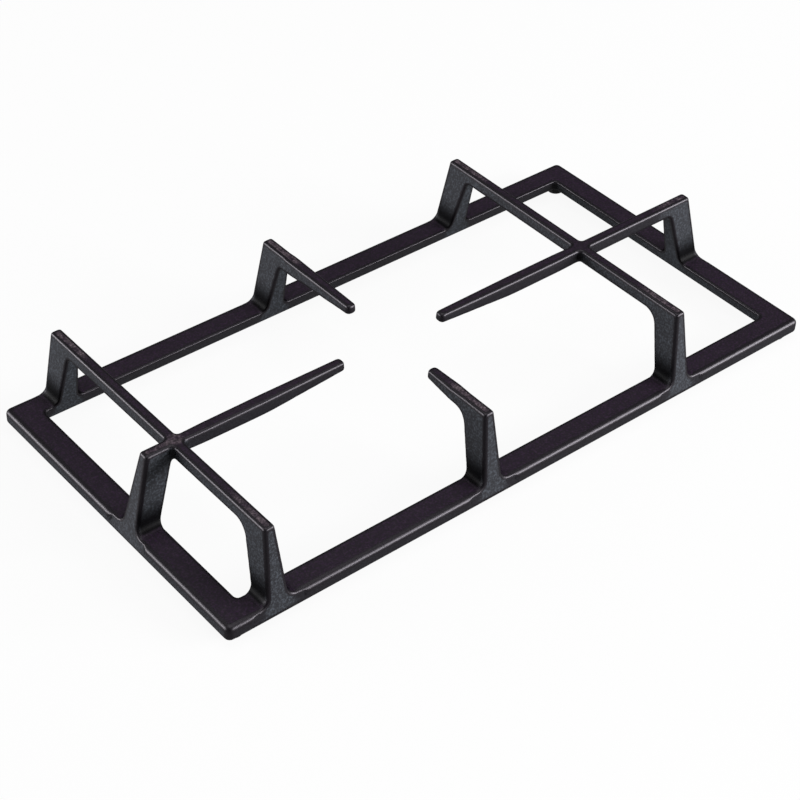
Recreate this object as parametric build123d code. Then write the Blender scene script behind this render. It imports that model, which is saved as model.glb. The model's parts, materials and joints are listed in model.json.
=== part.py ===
from build123d import *
from math import radians, tan
import os

# A hob pan support: a one-piece enamelled iron casting that stands on four push-in rubber feet.
# All sizes are in millimetres. +X runs along the long rails, +Y along the short rails and +Z is up.
# The origin is on the surface that the feet stand on, under the middle of the frame.

# Frame, over its outside faces
frame_length = 480.0
frame_width = 243.5
frame_thickness = 10.0
long_rail_width = 18.3
short_rail_width = 19.4
outer_corner_radius = 4.0
inner_corner_radius = 3.0
outer_top_radius = 3.5
outer_bottom_radius = 1.5
inner_top_radius = 0.8
inner_bottom_radius = 2.7

# The bars and fingers around the burner in plan: the left bar is measured from the frame's left end
left_bar_inset = 36.9
bar_distance = 163.9
burner_y = -18.4
finger_gap = 39.0
bar_width = 7.5
finger_width = 8.3
fingertip_width = 6.6
fingertip_corner_radius = 2.4
taper_length = 60.0
crossing_radius = 2.5

# Bars and fingers in height
pan_height = 61.8
bar_depth = 8.9
belly_depth = 9.7
fingertip_depth = 6.2
belly_radius = 300.0
long_finger_belly = 60.0
far_root_depth = 10.8
near_root_depth = 9.8
top_edge_radius = 1.8
lower_edge_radius = 1.0

# Legs, with insets measured from the frame's outer face
draft_angle = 4.3
long_leg_outer_inset = 9.5
long_leg_inner_inset = 31.2
short_leg_outer_inset = 14.8
short_leg_inner_inset = 35.0
leg_start_height = 2.5
knee_radius = 5.0
near_knee_radius = 11.0
leg_flare_radius = 6.0
flare_land = 1.0
recess_land = 0.6
recess_run_out = 5.0

# Rubber feet
foot_radius = 6.5
foot_height = 5.5
foot_edge_radius = 1.6
foot_inset = 10.5
stem_radius = 2.2
stem_length = 5.0
stem_clearance = 0.1
stem_end_clearance = 0.5

half_length = frame_length / 2
half_width = frame_width / 2
casting_bottom = foot_height
rail_top = casting_bottom + frame_thickness
bar_top = casting_bottom + pan_height
leg_start = casting_bottom + leg_start_height
overlap = 20.0


def half_leg_width(height):
    # Half the width of a leg at a height, seen from outside the frame
    return bar_width / 2 + (bar_top - height) * tan(radians(draft_angle))


def outer_inset(top_inset, height):
    # How far a leg's outer face has leaned in from the frame's outer face
    return top_inset * (height - leg_start) / (bar_top - leg_start)


def inner_inset(rail_width, top_inset, height):
    # Legs and rails share one leaning inner face, through the rail's top inner edge
    lean = (top_inset - rail_width) / (bar_top - rail_top)
    return rail_width + lean * (height - rail_top)


# Each leg: the point under its outer face, the turn that makes +X point into the frame,
# the rail it stands on, its two insets at the top and the radius of its knee
class Leg:
    def __init__(self, x, y, turn, rail_width, outer_top, inner_top, knee):
        self.place = Location((x, y, 0), (0, 0, turn))
        self.rail_width = rail_width
        self.outer_top = outer_top
        self.inner_top = inner_top
        self.knee = knee

    def outer(self, height):
        return outer_inset(self.outer_top, height)

    def inner(self, height):
        return inner_inset(self.rail_width, self.inner_top, height)


def long_side_leg(x, side, knee):
    return Leg(
        x,
        side * half_width,
        -90 * side,
        long_rail_width,
        long_leg_outer_inset,
        long_leg_inner_inset,
        knee,
    )


def short_side_leg(side):
    return Leg(
        side * half_length,
        burner_y,
        90 + 90 * side,
        short_rail_width,
        short_leg_outer_inset,
        short_leg_inner_inset,
        knee_radius,
    )


left_bar_x = left_bar_inset - half_length
burner_x = left_bar_x + bar_distance
right_bar_x = burner_x + bar_distance


def drafted(plan):
    # Sides that lean out at the draft angle below a plan drawn at the pan's height
    return extrude(Pos(0, 0, bar_top) * plan, amount=-(bar_top - leg_start), taper=-draft_angle)


def side_outline(points, rounding):
    # A face in the XZ plane; rounding lists the corners to round, as (index, radius)
    outline = make_face(Polyline(*points, close=True))
    for index, radius in rounding:
        x, y = points[index]
        corner = outline.vertices().sort_by_distance((x, y, 0))[0]
        outline = fillet(corner, radius)
    return Plane.XZ * outline


def bar(far_leg, near_leg):
    # A full bar with its two legs, along the far leg's own X axis
    span = frame_width
    under = bar_top - bar_depth
    points = [
        (far_leg.outer(leg_start), leg_start),
        (far_leg.outer(bar_top), bar_top),
        (span - near_leg.outer(bar_top), bar_top),
        (span - near_leg.outer(leg_start), leg_start),
        (span - near_leg.inner(leg_start), leg_start),
        (span - near_leg.inner(under), under),
        (far_leg.inner(under), under),
        (far_leg.inner(leg_start), leg_start),
    ]
    outline = side_outline(points, [(5, near_leg.knee), (6, far_leg.knee)])
    sides = drafted(Pos(span / 2, 0) * Rectangle(span + 2 * overlap, bar_width))
    return far_leg.place * (extrude(outline, amount=overlap, both=True) & sides)


def finger(leg, reach, root_depth, belly, broadening):
    # A finger with its leg, along the leg's own X axis. It thins from its deepest point to the tip:
    # that point is its root, or the belly, given as a distance back from the tip. Seen from above
    # it is as narrow as a bar up to the first distance in broadening, and at its widest from the second.
    root = bar_top - root_depth
    if belly:
        thinning = (belly_depth - fingertip_depth) / belly
    else:
        thinning = (root_depth - fingertip_depth) / (reach - leg.inner(root))
    points = [
        (leg.outer(leg_start), leg_start),
        (leg.outer(bar_top), bar_top),
        (reach + overlap, bar_top),
        (reach + overlap, bar_top - fingertip_depth + thinning * overlap),
    ]
    rounding = []
    if belly:
        points.append((reach - belly, bar_top - belly_depth))
        rounding.append((4, belly_radius))
    points.append((leg.inner(root), root))
    rounding.append((len(points) - 1, leg.knee))
    points.append((leg.inner(leg_start), leg_start))
    outline = side_outline(points, rounding)
    narrow, wide = broadening
    taper_start = max(reach - taper_length, wide)
    one_side = [
        (-overlap, bar_width / 2),
        (narrow, bar_width / 2),
        (wide, finger_width / 2),
        (reach, fingertip_width / 2),
    ]
    if taper_start > wide:
        one_side.insert(3, (taper_start, finger_width / 2))
    other_side = [(x, -y) for x, y in reversed(one_side)]
    plan = Polyline(*one_side, *other_side, close=True)
    tip_corners = make_face(plan).vertices().group_by(Axis.X)[-1]
    sides = drafted(fillet(tip_corners, fingertip_corner_radius))
    return leg.place * (extrude(outline, amount=overlap, both=True) & sides)


def flare(leg):
    # The widened base of a leg, where its flanks curve out into the top of the rail
    top = rail_top + leg_flare_radius + 2 * flare_land
    rail_level = half_leg_width(rail_top)
    base = flare_half_width()
    points = [
        (-base, leg_start),
        (base, leg_start),
        (base, rail_top),
        (rail_level, rail_top),
        (half_leg_width(top), top),
        (-half_leg_width(top), top),
        (-rail_level, rail_top),
        (-base, rail_top),
    ]
    front = make_face(Polyline(*points, close=True))
    for side in (-1, 1):
        corner = front.vertices().sort_by_distance((side * rail_level, rail_top, 0))[0]
        front = fillet(corner, leg_flare_radius)
    outline = side_outline(
        [
            (leg.outer(leg_start), leg_start),
            (leg.outer(top), top),
            (leg.inner(top), top),
            (leg.inner(leg_start), leg_start),
        ],
        [],
    )
    block = extrude(Plane.YZ * front, amount=2 * overlap + leg.inner_top)
    return leg.place * (block & extrude(outline, amount=overlap, both=True))


def flare_half_width():
    return half_leg_width(rail_top) + leg_flare_radius + flare_land


def in_leg_plane(points, leg, plane_inset):
    # True when the points lie in the leg's outer or inner face
    for point in points:
        local = (leg.place.inverse() * Pos(*point)).position
        if abs(local.Y) > flare_half_width() + flare_land:
            return False
        if abs(local.X - plane_inset(local.Z)) > 0.001:
            return False
    return True


def along(edge):
    return [edge.position_at(fraction) for fraction in (0, 0.5, 1)]


def above_rail(shape):
    return [edge for edge in shape.edges() if edge.center().Z > rail_top - 0.01]


def crossing_corners(shape, crossing_x):
    # The upright inner corners where a bar and a finger cross
    return [
        edge
        for edge in above_rail(shape)
        if abs(edge.tangent_at(0.5).Z) > 0.9
        and abs(edge.center().X - crossing_x) < bar_width
        and abs(edge.center().Y - burner_y) < bar_width
    ]


def rim(shape, legs):
    # The outline of the top, carried down both sides of each leg's outer face
    edges = list(shape.faces().filter_by(Axis.Z).sort_by(Axis.Z)[-1].edges())
    for edge in above_rail(shape):
        if edge.center().Z < bar_top - 0.01:
            if any(in_leg_plane(along(edge), leg, leg.outer) for leg in legs):
                edges.append(edge)
    return edges


def faces_down_or_in(face, legs):
    # True for the undersides, the knees and the inner faces of the legs
    if face.center().Z > rail_top + leg_flare_radius + knee_radius:
        if face.normal_at(face.center()).Z < -0.2:
            return True
    corners = [corner.center() for corner in face.vertices()]
    return any(in_leg_plane(corners, leg, leg.inner) for leg in legs)


def lower_edges(shape, legs):
    centres = []
    edges = []
    for face in shape.faces():
        if faces_down_or_in(face, legs):
            for edge in face.edges():
                edges.append(edge)
                centres.append(edge.center())
    single = []
    for edge, centre in zip(edges, centres):
        twins = [other for other in centres if (other - centre).length < 0.001]
        if len(twins) == 1 and centre.Z > rail_top - 0.01:
            single.append(edge)
    return single


def bar_with_finger(bar_x, side):
    # A full bar on its two legs, crossed by the long finger from the short rail on that side
    far_leg = long_side_leg(bar_x, 1, knee_radius)
    near_leg = long_side_leg(bar_x, -1, near_knee_radius)
    end_leg = short_side_leg(side)
    reach = half_length - side * burner_x - finger_gap
    full_bar = bar(far_leg, near_leg) + flare(far_leg) + flare(near_leg)
    full_bar = fillet(lower_edges(full_bar, [far_leg, near_leg]), lower_edge_radius)
    past_crossing = half_length - side * bar_x + bar_width
    broadening = (past_crossing, past_crossing + 2 * bar_width)
    long_finger = finger(end_leg, reach, bar_depth, long_finger_belly, broadening)
    long_finger = long_finger + flare(end_leg)
    long_finger = fillet(lower_edges(long_finger, [end_leg]), lower_edge_radius)
    cross = full_bar + long_finger
    cross = fillet(crossing_corners(cross, bar_x), crossing_radius)
    return fillet(rim(cross, [far_leg, near_leg, end_leg]), top_edge_radius)


def short_finger(side, knee, root_depth):
    # A finger from the middle of a long rail
    leg = long_side_leg(burner_x, side, knee)
    reach = half_width - side * burner_y - finger_gap
    broadening = (leg.inner(bar_top), leg.inner(bar_top) + knee)
    shape = finger(leg, reach, root_depth, 0, broadening) + flare(leg)
    shape = fillet(lower_edges(shape, [leg]), lower_edge_radius)
    return fillet(rim(shape, [leg]), top_edge_radius)


def opening():
    # The frame's window, whose walls lean out towards the bottom
    across = [
        inner_inset(short_rail_width, short_leg_inner_inset, casting_bottom - 1),
        inner_inset(short_rail_width, short_leg_inner_inset, rail_top + 1),
    ]
    along_y = [
        inner_inset(long_rail_width, long_leg_inner_inset, casting_bottom - 1),
        inner_inset(long_rail_width, long_leg_inner_inset, rail_top + 1),
    ]
    x_outline = Polyline(
        (-half_length + across[0], casting_bottom - 1),
        (half_length - across[0], casting_bottom - 1),
        (half_length - across[1], rail_top + 1),
        (-half_length + across[1], rail_top + 1),
        close=True,
    )
    y_outline = Polyline(
        (-half_width + along_y[0], casting_bottom - 1),
        (half_width - along_y[0], casting_bottom - 1),
        (half_width - along_y[1], rail_top + 1),
        (-half_width + along_y[1], rail_top + 1),
        close=True,
    )
    x_block = extrude(Plane.XZ * make_face(x_outline), amount=frame_width, both=True)
    y_block = extrude(Plane.YZ * make_face(y_outline), amount=frame_length, both=True)
    block = x_block & y_block
    corners = [edge for edge in block.edges() if abs(edge.tangent_at(0.5).Z) > 0.5]
    return fillet(corners, inner_corner_radius)


def level_faces(shape):
    return shape.faces().filter_by(Axis.Z).sort_by(Axis.Z)


def frame():
    outline = RectangleRounded(frame_length, frame_width, outer_corner_radius)
    ring = extrude(Pos(0, 0, casting_bottom) * outline, amount=frame_thickness) - opening()
    ring = fillet(level_faces(ring)[-1].outer_wire().edges(), outer_top_radius)
    ring = fillet(level_faces(ring)[-1].inner_wires()[0].edges(), inner_top_radius)
    ring = fillet(level_faces(ring)[0].outer_wire().edges(), outer_bottom_radius)
    return fillet(level_faces(ring)[0].inner_wires()[0].edges(), inner_bottom_radius)


def leg_recess(leg):
    # The sliver of rail that lies outside a leg's leaning outer face, running out to nothing at both ends
    top = rail_top + 1
    outline = side_outline(
        [
            (-1, leg_start),
            (0, leg_start),
            (leg.outer(top), top),
            (-1, top),
        ],
        [],
    )
    deep_end = flare_half_width() + recess_land
    shallow_end = deep_end + recess_run_out
    plan = Polyline(
        (-1, -shallow_end),
        (0, -shallow_end),
        (leg.outer(top), -deep_end),
        (leg.outer(top), deep_end),
        (0, shallow_end),
        (-1, shallow_end),
        close=True,
    )
    sliver = extrude(outline, amount=shallow_end, both=True)
    return leg.place * (sliver & extrude(make_face(plan), amount=top))


def foot_places():
    reach_x = half_length - foot_inset
    reach_y = half_width - foot_inset
    return {
        "left_far": (-reach_x, reach_y),
        "right_far": (reach_x, reach_y),
        "right_near": (reach_x, -reach_y),
        "left_near": (-reach_x, -reach_y),
    }


def foot():
    body = Pos(0, 0, foot_height / 2) * Cylinder(foot_radius, foot_height)
    rounded = body.edges().filter_by(GeomType.CIRCLE).sort_by(Axis.Z)[0]
    body = fillet(rounded, foot_edge_radius)
    stem = Pos(0, 0, foot_height + stem_length / 2) * Cylinder(stem_radius, stem_length)
    return body + stem


def foot_hole():
    depth = stem_length + stem_end_clearance
    hole = Cylinder(stem_radius + stem_clearance, 2 * depth)
    return Pos(0, 0, casting_bottom) * hole


def casting():
    legs = [short_side_leg(-1), short_side_leg(1)]
    for x in (left_bar_x, burner_x, right_bar_x):
        legs.append(long_side_leg(x, 1, knee_radius))
        legs.append(long_side_leg(x, -1, near_knee_radius))
    body = frame()
    for leg in legs:
        body = body - leg_recess(leg)
    body = body + bar_with_finger(left_bar_x, -1)
    body = body + bar_with_finger(right_bar_x, 1)
    body = body + short_finger(1, knee_radius, far_root_depth)
    body = body + short_finger(-1, near_knee_radius, near_root_depth)
    for x, y in foot_places().values():
        body = body - Pos(x, y) * foot_hole()
    return body


if __name__ == "__main__":
    os.makedirs("parts", exist_ok=True)
    export_step(casting(), "parts/pan_support_casting.step")
    for name, (x, y) in foot_places().items():
        export_step(Pos(x, y) * foot(), "parts/rubber_foot_" + name + ".step")
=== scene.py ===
"""A hob pan support: a black enamelled iron casting on four rubber feet, dressed for a studio picture."""

from __future__ import annotations

import json
import logging
import math
from dataclasses import dataclass, field
from enum import Enum
from typing import Any, Union

import bmesh
import bpy
import numpy as np
from mathutils import Euler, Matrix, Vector

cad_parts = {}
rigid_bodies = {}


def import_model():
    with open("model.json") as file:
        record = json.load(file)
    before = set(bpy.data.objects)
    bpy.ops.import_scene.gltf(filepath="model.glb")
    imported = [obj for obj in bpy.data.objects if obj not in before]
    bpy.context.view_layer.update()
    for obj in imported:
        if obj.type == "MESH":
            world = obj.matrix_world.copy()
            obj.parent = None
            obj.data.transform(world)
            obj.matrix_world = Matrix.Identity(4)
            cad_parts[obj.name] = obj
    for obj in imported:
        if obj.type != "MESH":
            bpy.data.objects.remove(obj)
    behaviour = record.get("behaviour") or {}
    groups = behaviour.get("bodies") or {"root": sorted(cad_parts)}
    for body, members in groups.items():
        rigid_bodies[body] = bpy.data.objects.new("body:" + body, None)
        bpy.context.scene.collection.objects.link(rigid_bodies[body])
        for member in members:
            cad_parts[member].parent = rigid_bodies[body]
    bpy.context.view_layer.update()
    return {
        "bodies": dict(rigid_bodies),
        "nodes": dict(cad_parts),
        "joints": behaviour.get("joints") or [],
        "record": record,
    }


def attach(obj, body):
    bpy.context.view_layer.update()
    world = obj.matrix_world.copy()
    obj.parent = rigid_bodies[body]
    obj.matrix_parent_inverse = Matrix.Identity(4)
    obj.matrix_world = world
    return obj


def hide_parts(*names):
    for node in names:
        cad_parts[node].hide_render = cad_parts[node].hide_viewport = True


LOG = logging.getLogger("pan_support")
BODY = "root"
RELIEF = "relief"
ON_LEG = "on_leg"
CREASE_SHADE = "crease_shade"

Colour = tuple[float, float, float]
Place = tuple[float, float, float]
Span = tuple[float, float]
Number = Union[float, "Wire"]

WHITE: Colour = (1.0, 1.0, 1.0)


class Blend(Enum):
    """How two colours are put together."""

    MIX = "MIX"
    MULTIPLY = "MULTIPLY"


@dataclass(frozen=True)
class Noise:
    """Soft noise: features for each metre, octaves, and how much the finer octaves count."""

    scale: float
    detail: float
    roughness: float


class Wire:
    """An output socket that takes part in Python expressions."""

    def __init__(self, graph: "Graph", socket: bpy.types.NodeSocket) -> None:
        """Keep the socket and the graph that it belongs to."""
        self.graph = graph
        self.socket = socket

    def _maths(self, operation: str, *values: Number) -> "Wire":
        """Add one Math node.

        Args:
            operation: The Math node's operation.
            values: Its inputs, in order.

        Returns:
            The node's result.
        """
        return self.graph.node("ShaderNodeMath", {"operation": operation}, dict(enumerate(values)))

    def __add__(self, other: Number) -> "Wire":
        """Sum."""
        return self._maths("ADD", self, other)

    def __radd__(self, other: float) -> "Wire":
        """Sum, with the plain number first."""
        return self._maths("ADD", other, self)

    def __sub__(self, other: Number) -> "Wire":
        """Difference."""
        return self._maths("SUBTRACT", self, other)

    def __rsub__(self, other: float) -> "Wire":
        """Difference, with the plain number first."""
        return self._maths("SUBTRACT", other, self)

    def __mul__(self, other: Number) -> "Wire":
        """Product."""
        return self._maths("MULTIPLY", self, other)

    def __rmul__(self, other: float) -> "Wire":
        """Product, with the plain number first."""
        return self._maths("MULTIPLY", other, self)

    def or_more(self, other: Number) -> "Wire":
        """The larger of the two."""
        return self._maths("MAXIMUM", self, other)

    def between(self, low: float, high: float) -> "Wire":
        """Turn the stretch from low to high into 0 to 1, smoothly, and hold it there outside.

        Args:
            low: The value that becomes 0.
            high: The value that becomes 1.

        Returns:
            The eased value.
        """
        return self.graph.node(
            "ShaderNodeMapRange",
            {"interpolation_type": "SMOOTHSTEP"},
            {"Value": self, "From Min": low, "From Max": high, "To Min": 0.0, "To Max": 1.0},
        )


def opaque(value: Any) -> Any:
    """Add an alpha to a plain colour, and let a wire through."""
    return value if isinstance(value, Wire) else (*value, 1.0)


class Graph:
    """The node tree of a material or of the world, built from Python."""

    def __init__(self, owner: bpy.types.Material | bpy.types.World) -> None:
        """Empty the owner's tree.

        Args:
            owner: The material or world that the nodes go into.
        """
        owner.use_nodes = True
        self.tree = owner.node_tree
        self.tree.nodes.clear()

    def node(
        self,
        kind: str,
        settings: dict[str, Any] | None = None,
        values: dict[str | int, Any] | None = None,
        output: str | int = 0,
    ) -> Wire:
        """Add a node.

        Args:
            kind: The node's type name.
            settings: Properties of the node, set before anything else.
            values: A number, colour, vector or wire for each input socket named or counted here.
            output: The output that is wanted.

        Returns:
            That output.
        """
        made = self.tree.nodes.new(kind)
        for key, value in (settings or {}).items():
            setattr(made, key, value)
        for key, value in (values or {}).items():
            if isinstance(value, Wire):
                self.tree.links.new(value.socket, made.inputs[key])
            else:
                made.inputs[key].default_value = value
        return Wire(self, made.outputs[output])

    def colour(self, blend: Blend, amount: Number, first: Any, second: Any) -> Wire:
        """Put two colours together.

        Args:
            blend: How.
            amount: Share of the second colour.
            first: A colour or a wire.
            second: A colour or a wire.

        Returns:
            The colour made.
        """
        return self.node(
            "ShaderNodeMix",
            {"data_type": "RGBA", "blend_type": blend.value, "clamp_factor": True},
            {0: amount, 6: opaque(first), 7: opaque(second)},
            output=2,
        )

    def noise(self, where: Wire, kind: Noise) -> Wire:
        """Add soft noise.

        Args:
            where: The coordinates that it is read at.
            kind: Its size and character.

        Returns:
            A value about 0.5.
        """
        values = {"Vector": where, "Scale": kind.scale, "Detail": kind.detail, "Roughness": kind.roughness}
        return self.node("ShaderNodeTexNoise", {"noise_dimensions": "3D"}, values)

    def noted(self, name: str) -> Wire:
        """Read a number that the mesh carries for each vertex.

        Args:
            name: The attribute.

        Returns:
            Its value.
        """
        return self.node("ShaderNodeAttribute", {"attribute_name": name}, output="Fac")

    def bump(self, height: Wire, depth: float, before: Wire | None = None) -> Wire:
        """Turn a height into a normal.

        Args:
            height: The height, about 0 to 1.
            depth: Metres that a height of 1 stands for.
            before: A normal that this one is added to.

        Returns:
            The new normal.
        """
        values: dict[str | int, Any] = {"Strength": 1.0, "Distance": depth, "Height": height}
        if before is not None:
            values["Normal"] = before
        return self.node("ShaderNodeBump", None, values)

    def mixed(self, share: Wire, first: Wire, second: Wire) -> Wire:
        """Mix two shaders.

        Args:
            share: Share of the second shader.
            first: A shader.
            second: A shader.

        Returns:
            The mixture.
        """
        return self.node("ShaderNodeMixShader", None, {0: share, 1: first, 2: second})

    def finish(self, shader: Wire, kind: str = "ShaderNodeOutputMaterial") -> None:
        """Send a shader to the output.

        Args:
            shader: The surface or background shader.
            kind: The output node's type name.
        """
        out = self.tree.nodes.new(kind)
        self.tree.links.new(shader.socket, out.inputs["Surface"])


@dataclass(frozen=True)
class Enamel:
    """Black coat over cast iron: grainy and dull on the flats, with tops painted darker and sides paler as
    painted shade and light; smoother where it runs over an edge, and there and on sides off the legs dark
    with painted shade; near black with painted shade in hollows and at the legs' bases.
    """

    # Tops are painted darker and purple, sides paler grey-blue: painted shade and light by which way a face
    # looks.
    top: Colour = (0.0072, 0.0012, 0.0100)
    side: Colour = (0.0215, 0.0255, 0.0310)
    # Dark colour of the smoother, glossier coat where it runs over edges and along the sides off the legs:
    # the darkness is painted shade.
    edge_run_and_shade: Colour = (0.0026, 0.0016, 0.0032)
    # Near black for hollows and the bases of legs: painted shade.
    painted_shade: Colour = (0.0008, 0.0006, 0.0010)
    worn: Colour = (0.125, 0.098, 0.110)
    tint: Colour = (0.96, 0.90, 1.0)
    top_roughness: float = 0.58
    side_roughness: float = 0.62
    run_roughness: float = 0.40
    painted_shade_roughness: float = 0.5
    gloss: float = 0.38
    run_gloss: float = 0.44
    painted_shade_gloss: float = 0.04

    level_span: Span = (0.62, 0.93)
    edge_span: Span = (0.00002, 0.00008)
    # Painted shade on sides off the legs: those facing along the length keep most of their paler colour, the
    # rest take the dark coat.
    endwise_span: Span = (0.5, 0.9)
    endwise_share: float = 0.75
    painted_dark_side_share: float = 0.85
    # How strongly the near-black painted shade fills hollows and the legs' bases.
    hollow_shade_share: float = 0.6
    painted_shade_share: float = 0.96

    grain: Noise = Noise(950.0, 3.0, 0.6)
    grain_depth: float = 0.000040
    grain_roughness: float = 0.25
    run_grain_roughness: float = 0.15
    grain_lost_on_top: float = 0.3
    grain_lost_at_edge: float = 0.5
    pits: Noise = Noise(420.0, 2.0, 0.5)
    pit_span: Span = (0.58, 0.72)
    pit_depth: float = 0.35
    peel: Noise = Noise(160.0, 2.0, 0.45)
    peel_depth: float = 0.00010
    clouds: Noise = Noise(38.0, 3.0, 0.55)
    cloud_tone: float = 0.4
    cloud_roughness: float = 0.12
    specks: Noise = Noise(700.0, 2.0, 0.6)
    speck_span: Span = (0.42, 0.72)
    speck_tone: float = 1.5
    plain_tone: float = 0.3
    patches: Noise = Noise(260.0, 4.0, 0.6)
    patch_span: Span = (0.30, 0.75)
    worn_share: float = 0.05
    worn_share_on_leg: float = 0.85

    def build(self) -> bpy.types.Material:
        """Build the material.

        Returns:
            The enamel.
        """
        material = bpy.data.materials.new("enamelled_iron")
        graph = Graph(material)
        where = graph.node("ShaderNodeTexCoord", output="Object")
        facing = graph.node("ShaderNodeNewGeometry", output="Normal")
        upward = graph.node("ShaderNodeSeparateXYZ", None, {"Vector": facing}, output="Z")
        endward = graph.node("ShaderNodeSeparateXYZ", None, {"Vector": facing}, output="X")
        relief = graph.noted(RELIEF)
        on_leg = graph.noted(ON_LEG)
        level = upward.between(*self.level_span)
        edge = relief.between(*self.edge_span)
        hollow = (relief * -1.0).between(*self.edge_span)
        # Painted shade: sides that are neither level, nor on a leg, nor facing along the length take the dark
        # coat.
        endwise = (endward * endward).between(*self.endwise_span) * self.endwise_share
        painted_dark_sides = (1.0 - on_leg) * (1.0 - level) * (1.0 - endwise) * self.painted_dark_side_share
        # Painted shade: near black in hollows and in the creases at the legs' bases.
        painted_shade = (hollow * self.hollow_shade_share).or_more(graph.noted(CREASE_SHADE)) * self.painted_shade_share
        grain = graph.noise(where, self.grain)
        clouds = graph.noise(where, self.clouds)
        normal = self._normal(graph, where, grain * (1.0 - self.grain_lost_on_top * level), edge)
        flat = graph.node(
            "ShaderNodeBsdfPrincipled",
            None,
            {
                "Base Color": self._colour(graph, where, clouds, level, on_leg),
                "Roughness": self._roughness(grain, clouds, level),
                "Specular IOR Level": self.gloss,
                "Specular Tint": opaque(self.tint),
                "Normal": normal,
            },
        )
        # Smoother, glossier coat for edges and for sides off the legs; its dark colour is painted shade.
        smooth = graph.node(
            "ShaderNodeBsdfPrincipled",
            None,
            {
                "Base Color": opaque(self.edge_run_and_shade),
                "Roughness": self.run_roughness + (grain - 0.5) * self.run_grain_roughness,
                "Specular IOR Level": self.run_gloss,
                "Specular Tint": opaque(self.tint),
                "Normal": normal,
            },
        )
        # Near-black, dull shader for the painted shade in hollows and at the legs' bases.
        painted_shade_shader = graph.node(
            "ShaderNodeBsdfPrincipled",
            None,
            {
                "Base Color": opaque(self.painted_shade),
                "Roughness": self.painted_shade_roughness,
                "Specular IOR Level": self.painted_shade_gloss,
            },
        )
        coat = graph.mixed(edge.or_more(painted_dark_sides), flat, smooth)
        graph.finish(graph.mixed(painted_shade, coat, painted_shade_shader))
        return material

    def _colour(self, graph: Graph, where: Wire, clouds: Wire, level: Wire, on_leg: Wire) -> Wire:
        """Colour the flats: tops painted darker and sides paler as painted shade and light, worn patches on
        the tops of legs, clouds and specks.

        Args:
            graph: The material's graph.
            where: Coordinates.
            clouds: The broad noise.
            level: How level the surface is.
            on_leg: How far the place counts as part of a leg.

        Returns:
            The colour.
        """
        patches = graph.noise(where, self.patches).between(*self.patch_span)
        worn = patches * level * (self.worn_share + self.worn_share_on_leg * on_leg)
        # Painted shade and light: level tops take the darker colour, sides the paler one.
        plain = graph.colour(Blend.MIX, level, self.side, self.top)
        colour = graph.colour(Blend.MIX, worn, plain, self.worn)
        specks = graph.noise(where, self.specks).between(*self.speck_span)
        tone = self.plain_tone + self.cloud_tone * clouds + self.speck_tone * specks
        grey = graph.node("ShaderNodeCombineColor", None, {"Red": tone, "Green": tone, "Blue": tone})
        return graph.colour(Blend.MULTIPLY, 1.0, colour, grey)

    def _roughness(self, grain: Wire, clouds: Wire, level: Wire) -> Wire:
        """Work out how dull the flats are.

        Args:
            grain: The fine noise.
            clouds: The broad noise.
            level: How level the surface is.

        Returns:
            The roughness.
        """
        plain = self.side_roughness + level * (self.top_roughness - self.side_roughness)
        return plain + (grain - 0.5) * self.grain_roughness + (clouds - 0.5) * self.cloud_roughness

    def _normal(self, graph: Graph, where: Wire, grain: Wire, edge: Wire) -> Wire:
        """Bend the normal with the coat's slow waves, its grain and its pits.

        Args:
            graph: The material's graph.
            where: Coordinates.
            grain: The grain's height.
            edge: How far the place counts as an edge.

        Returns:
            The normal.
        """
        waves = graph.bump(graph.noise(where, self.peel), self.peel_depth)
        pits = graph.noise(where, self.pits).between(*self.pit_span)
        height = (grain - pits * self.pit_depth) * (1.0 - self.grain_lost_at_edge * edge)
        return graph.bump(height, self.grain_depth, waves)


@dataclass(frozen=True)
class Rubber:
    """Matte black rubber, a little dusty."""

    base: Colour = (0.012, 0.012, 0.012)
    dust: Colour = (0.05, 0.048, 0.045)
    roughness: float = 0.62
    gloss: float = 0.35
    fine: Noise = Noise(1400.0, 3.0, 0.6)
    fine_depth: float = 0.00005
    fine_roughness: float = 0.2
    film: Noise = Noise(260.0, 3.0, 0.6)
    film_span: Span = (0.45, 0.8)
    film_share: float = 0.4
    film_roughness: float = 0.1

    def build(self) -> bpy.types.Material:
        """Build the material.

        Returns:
            The rubber.
        """
        material = bpy.data.materials.new("foot_rubber")
        graph = Graph(material)
        where = graph.node("ShaderNodeTexCoord", output="Object")
        fine = graph.noise(where, self.fine)
        film = graph.noise(where, self.film).between(*self.film_span)
        shader = graph.node(
            "ShaderNodeBsdfPrincipled",
            None,
            {
                "Base Color": graph.colour(Blend.MIX, film * self.film_share, self.base, self.dust),
                "Roughness": self.roughness + self.fine_roughness * (fine - 0.5) + self.film_roughness * film,
                "Specular IOR Level": self.gloss,
                "Normal": graph.bump(fine, self.fine_depth),
            },
        )
        graph.finish(shader)
        return material


@dataclass(frozen=True)
class StudioWhite:
    """White studio floor that shows as white, keeps a shadow and is dim in reflections."""

    albedo: Colour = (0.82, 0.82, 0.82)
    seen_share: float = 0.92
    mirrored_glow: float = 0.15
    mirrored_share: float = 0.85

    def build(self) -> bpy.types.Material:
        """Build the material.

        Returns:
            The floor's material.
        """
        material = bpy.data.materials.new("studio_white")
        graph = Graph(material)
        matte = graph.node("ShaderNodeBsdfDiffuse", None, {"Color": opaque(self.albedo)})
        bright = graph.node("ShaderNodeEmission", None, {"Color": opaque(WHITE), "Strength": 1.0})
        faint = {"Color": opaque(WHITE), "Strength": self.mirrored_glow}
        glow = graph.node("ShaderNodeEmission", None, faint)
        seen = graph.node("ShaderNodeLightPath", output="Is Camera Ray") * self.seen_share
        mirrored = graph.node("ShaderNodeLightPath", output="Is Glossy Ray") * self.mirrored_share
        graph.finish(graph.mixed(mirrored, graph.mixed(seen, matte, bright), glow))
        return material


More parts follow.
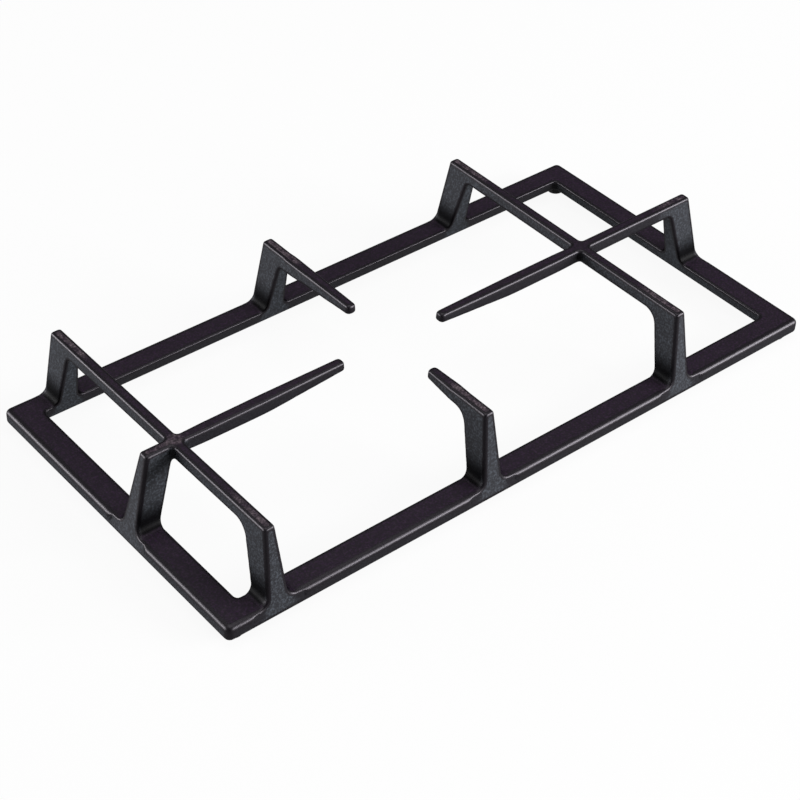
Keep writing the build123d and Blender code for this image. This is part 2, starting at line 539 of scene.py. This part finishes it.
@dataclass(frozen=True)
class Step:
    """One modifier that changes a mesh."""

    kind: str
    settings: dict[str, Any]


def changed(mesh: bpy.types.Mesh, *steps: Step) -> bpy.types.Mesh:
    """Run a mesh through modifiers.

    Args:
        mesh: The mesh, which stays as it is.
        steps: The modifiers, in order.

    Returns:
        A new mesh.
    """
    bench = bpy.data.objects.new("bench", mesh)
    bpy.context.scene.collection.objects.link(bench)
    for index, step in enumerate(steps):
        modifier = bench.modifiers.new(f"step_{index}", step.kind)
        for key, value in step.settings.items():
            setattr(modifier, key, value)
    ready = bench.evaluated_get(bpy.context.evaluated_depsgraph_get())
    result = bpy.data.meshes.new_from_object(ready)
    bpy.data.objects.remove(bench)
    return result


def vectors(items: Any, name: str) -> np.ndarray:
    """Read one vector from each of a mesh's items.

    Args:
        items: The mesh's vertices or vertex normals.
        name: The vector's name.

    Returns:
        One row for each item.
    """
    flat = np.empty(3 * len(items), dtype=np.float32)
    items.foreach_get(name, flat)
    return flat.reshape(-1, 3)


def points(mesh: bpy.types.Mesh) -> np.ndarray:
    """Read where the vertices of a mesh are."""
    return vectors(mesh.vertices, "co")


def normals(mesh: bpy.types.Mesh) -> np.ndarray:
    """Read the vertex normals of a mesh."""
    return vectors(mesh.vertex_normals, "vector")


def note(mesh: bpy.types.Mesh, name: str, values: np.ndarray) -> None:
    """Write one number for each vertex of a mesh.

    Args:
        mesh: The mesh.
        name: The attribute that holds the numbers.
        values: The numbers, in the vertices' order.
    """
    attribute = mesh.attributes.new(name, "FLOAT", "POINT")
    attribute.data.foreach_set("value", values.astype(np.float32))


def eased(values: np.ndarray, low: np.ndarray | float, high: np.ndarray | float) -> np.ndarray:
    """Turn the stretch from low to high into 0 to 1, smoothly, and hold it there outside.

    Args:
        values: What is eased.
        low: Where 0 is reached.
        high: Where 1 is reached.

    Returns:
        The eased values.
    """
    share = np.clip((values - low) / (high - low), 0.0, 1.0)
    return share * share * (3.0 - 2.0 * share)


@dataclass(frozen=True)
class Softening:
    """How the drawn shape is softened into a cast and enamelled one."""

    voxel: float = 0.0006
    factor: float = 0.5
    rounds: int = 7
    wide_rounds: int = 24
    triangles: int = 186_000

    def apply(self, mesh: bpy.types.Mesh) -> bpy.types.Mesh:
        """Soften a closed mesh and note how far each point stands out of its surroundings.

        Args:
            mesh: The closed mesh.

        Returns:
            The soft mesh, with the relief as an attribute.
        """
        remesh = Step("REMESH", {"mode": "VOXEL", "voxel_size": self.voxel, "adaptivity": 0.0})
        soft = changed(mesh, remesh, Step("SMOOTH", {"factor": self.factor, "iterations": self.rounds}))
        softer = changed(soft, Step("SMOOTH", {"factor": self.factor, "iterations": self.wide_rounds}))
        note(soft, RELIEF, np.einsum("ij,ij->i", points(soft) - points(softer), normals(soft)))
        ratio = min(1.0, self.triangles / (2 * len(soft.polygons)))
        return changed(soft, Step("DECIMATE", {"ratio": ratio}))


@dataclass(frozen=True)
class LegZones:
    """Where the eight legs are: their faces are spared the painted shade of other sides, so they stay paler,
    and their bases get near-black painted shade.
    """

    long_side_x: tuple[float, ...] = (-0.2031, -0.0392, 0.1247)
    short_side_y: float = -0.0184
    half_leg: float = 0.00375
    widening: float = 0.0752
    reach: Span = (0.038, 0.048)
    foot_height: Span = (0.006, 0.020)
    foot_spread: float = 0.0025
    blur: float = 0.0015
    # Where the near-black painted shade at a leg's base lies: low down, close beside the leg, behind its
    # outer face, on faces that look across it.
    crease_height: Span = (0.022, 0.040)
    crease_across: Span = (0.002, 0.008)
    crease_inward: Span = (0.002, 0.006)
    crease_facing: Span = (0.2, 0.6)

    def write(self, mesh: bpy.types.Mesh) -> None:
        """Note how far each vertex counts as part of a leg, and how much near-black painted shade it takes at
        a leg's base.

        Args:
            mesh: The casting's mesh.
        """
        half_length, half_width, top = points(mesh).max(axis=0)
        x, y, z = points(mesh).T
        toward_x, toward_y, _ = np.abs(normals(mesh)).T
        half = self.half_leg + (top - z) * self.widening
        half = half + self.foot_spread * (1.0 - eased(z, *self.foot_height))
        legs = [(np.abs(x - leg_x), half_width - np.abs(y), toward_x) for leg_x in self.long_side_x]
        legs.append((np.abs(y - self.short_side_y), half_length - np.abs(x), toward_y))
        on_leg = np.zeros_like(x)
        crease_shade = np.zeros_like(x)
        # Painted shade: only low down on the legs.
        low = 1.0 - eased(z, *self.crease_height)
        for across, inward, facing in legs:
            within = 1.0 - eased(inward, *self.reach)
            on_leg = np.maximum(on_leg, within * (1.0 - eased(across, half, half + self.blur)))
            near = 1.0 - eased(across - half, *self.crease_across)
            behind = within * eased(inward, *self.crease_inward)
            crease_shade = np.maximum(crease_shade, near * behind * low * eased(facing, *self.crease_facing))
        note(mesh, ON_LEG, on_leg)
        note(mesh, CREASE_SHADE, crease_shade)


@dataclass
class Casting:
    """The one-piece iron casting: frame, legs, bars and fingers."""

    node: str = "pan_support_casting"
    slot: str = "enamelled_iron"
    merge_distance: float = 0.000002
    finish: Enamel = field(default_factory=Enamel)
    softening: Softening = field(default_factory=Softening)
    legs: LegZones = field(default_factory=LegZones)

    def build(self, frame: dict[str, Any]) -> bpy.types.Object:
        """Make a softened copy of the casting in its enamel.

        Args:
            frame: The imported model.

        Returns:
            The new piece.
        """
        mesh = self.softening.apply(self._closed(frame["nodes"][self.node].data))
        mesh.name = "casting_enamel"
        self.legs.write(mesh)
        for polygon in mesh.polygons:
            polygon.use_smooth = True
        mesh.materials.clear()
        mesh.materials.append(self.finish.build())
        piece = bpy.data.objects.new("casting_enamel", mesh)
        bpy.context.scene.collection.objects.link(piece)
        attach(piece, BODY)
        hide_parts(self.node)
        return piece

    def _closed(self, source: bpy.types.Mesh) -> bpy.types.Mesh:
        """Copy a mesh of loose triangles and join them along their edges.

        Args:
            source: The loose triangles.

        Returns:
            The closed copy.
        """
        mesh = source.copy()
        work = bmesh.new()
        work.from_mesh(mesh)
        bmesh.ops.remove_doubles(work, verts=work.verts, dist=self.merge_distance)
        work.to_mesh(mesh)
        work.free()
        return mesh


@dataclass
class Feet:
    """The four rubber feet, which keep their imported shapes."""

    corners: tuple[str, ...] = ("left_far", "right_far", "right_near", "left_near")
    finish: Rubber = field(default_factory=Rubber)

    def dress(self, frame: dict[str, Any]) -> list[bpy.types.Object]:
        """Give each foot its rubber.

        Args:
            frame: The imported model.

        Returns:
            The feet.
        """
        material = self.finish.build()
        feet = [frame["nodes"]["rubber_foot_" + corner] for corner in self.corners]
        for foot in feet:
            for slot in foot.material_slots:
                slot.material = material
        return feet


@dataclass(frozen=True)
class Lamp:
    """One soft area lamp that points at a place."""

    name: str
    place: Place
    target: Place
    width: float
    height: float
    power: float

    def build(self) -> bpy.types.Object:
        """Build the lamp.

        Returns:
            The lamp.
        """
        data = bpy.data.lights.new(self.name, "AREA")
        data.shape = "RECTANGLE"
        data.size = self.width
        data.size_y = self.height
        data.energy = self.power
        lamp = bpy.data.objects.new(self.name, data)
        lamp.location = self.place
        aim = Vector(self.target) - Vector(self.place)
        lamp.rotation_euler = aim.to_track_quat("-Z", "Y").to_euler()
        bpy.context.scene.collection.objects.link(lamp)
        return lamp


@dataclass
class Studio:
    """Floor, lamps, world and camera."""

    floor_size: float = 12.0
    floor: StudioWhite = field(default_factory=StudioWhite)
    camera_place: Place = (-0.674174, -0.757019, 0.828445)
    camera_turn: Place = (50.116142, -2.011796, -39.441659)
    lens: float = 88.660306
    sensor_width: float = 36.0
    sight: Span = (0.05, 50.0)
    world_level: float = 0.10
    lamps: tuple[Lamp, ...] = (
        Lamp("key", (1.55, -2.0, 0.80), (0.0, 0.0, 0.03), 1.9, 1.0, 120.0),
        Lamp("side", (-2.0, 1.4, 0.40), (0.0, 0.0, 0.03), 1.6, 0.8, 58.0),
        Lamp("overhead", (0.0, 0.1, 2.4), (0.0, 0.0, 0.0), 2.0, 2.0, 24.0),
    )

    def build(self) -> None:
        """Build the whole studio."""
        self._build_floor()
        self._build_world()
        self._build_camera()
        for lamp in self.lamps:
            lamp.build()
        bpy.context.scene.view_settings.view_transform = "Standard"

    def _build_floor(self) -> None:
        """Lay the floor at the height that the feet stand on."""
        half = self.floor_size / 2
        mesh = bpy.data.meshes.new("floor")
        corners = [(-half, -half, 0.0), (half, -half, 0.0), (half, half, 0.0), (-half, half, 0.0)]
        mesh.from_pydata(corners, [], [(0, 1, 2, 3)])
        mesh.materials.append(self.floor.build())
        floor = bpy.data.objects.new("floor", mesh)
        bpy.context.scene.collection.objects.link(floor)

    def _build_world(self) -> None:
        """Fill the room with even light, and show white behind the object."""
        world = bpy.data.worlds.new("room")
        bpy.context.scene.world = world
        graph = Graph(world)
        seen = graph.node("ShaderNodeLightPath", output="Is Camera Ray")
        faint = {"Color": opaque(WHITE), "Strength": self.world_level}
        even = graph.node("ShaderNodeBackground", None, faint)
        white = graph.node("ShaderNodeBackground", None, {"Color": opaque(WHITE), "Strength": 1.0})
        graph.finish(graph.mixed(seen, even, white), "ShaderNodeOutputWorld")

    def _build_camera(self) -> None:
        """Stand the camera where the photograph was taken from."""
        data = bpy.data.cameras.new("camera")
        data.sensor_fit = "HORIZONTAL"
        data.sensor_width = self.sensor_width
        data.lens = self.lens
        data.clip_start, data.clip_end = self.sight
        camera = bpy.data.objects.new("camera", data)
        camera.location = self.camera_place
        camera.rotation_euler = Euler([math.radians(angle) for angle in self.camera_turn], "XYZ")
        bpy.context.scene.collection.objects.link(camera)
        bpy.context.scene.camera = camera


def main() -> None:
    """Build everything in order."""
    logging.basicConfig(level=logging.INFO, format="%(name)s: %(message)s")
    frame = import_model()
    Studio().build()
    LOG.info("studio built")
    casting = Casting().build(frame)
    LOG.info("%s has %d triangles", casting.name, len(casting.data.polygons))
    for foot in Feet().dress(frame):
        LOG.info("%s dressed", foot.name)


if __name__ == "__main__":
    main()
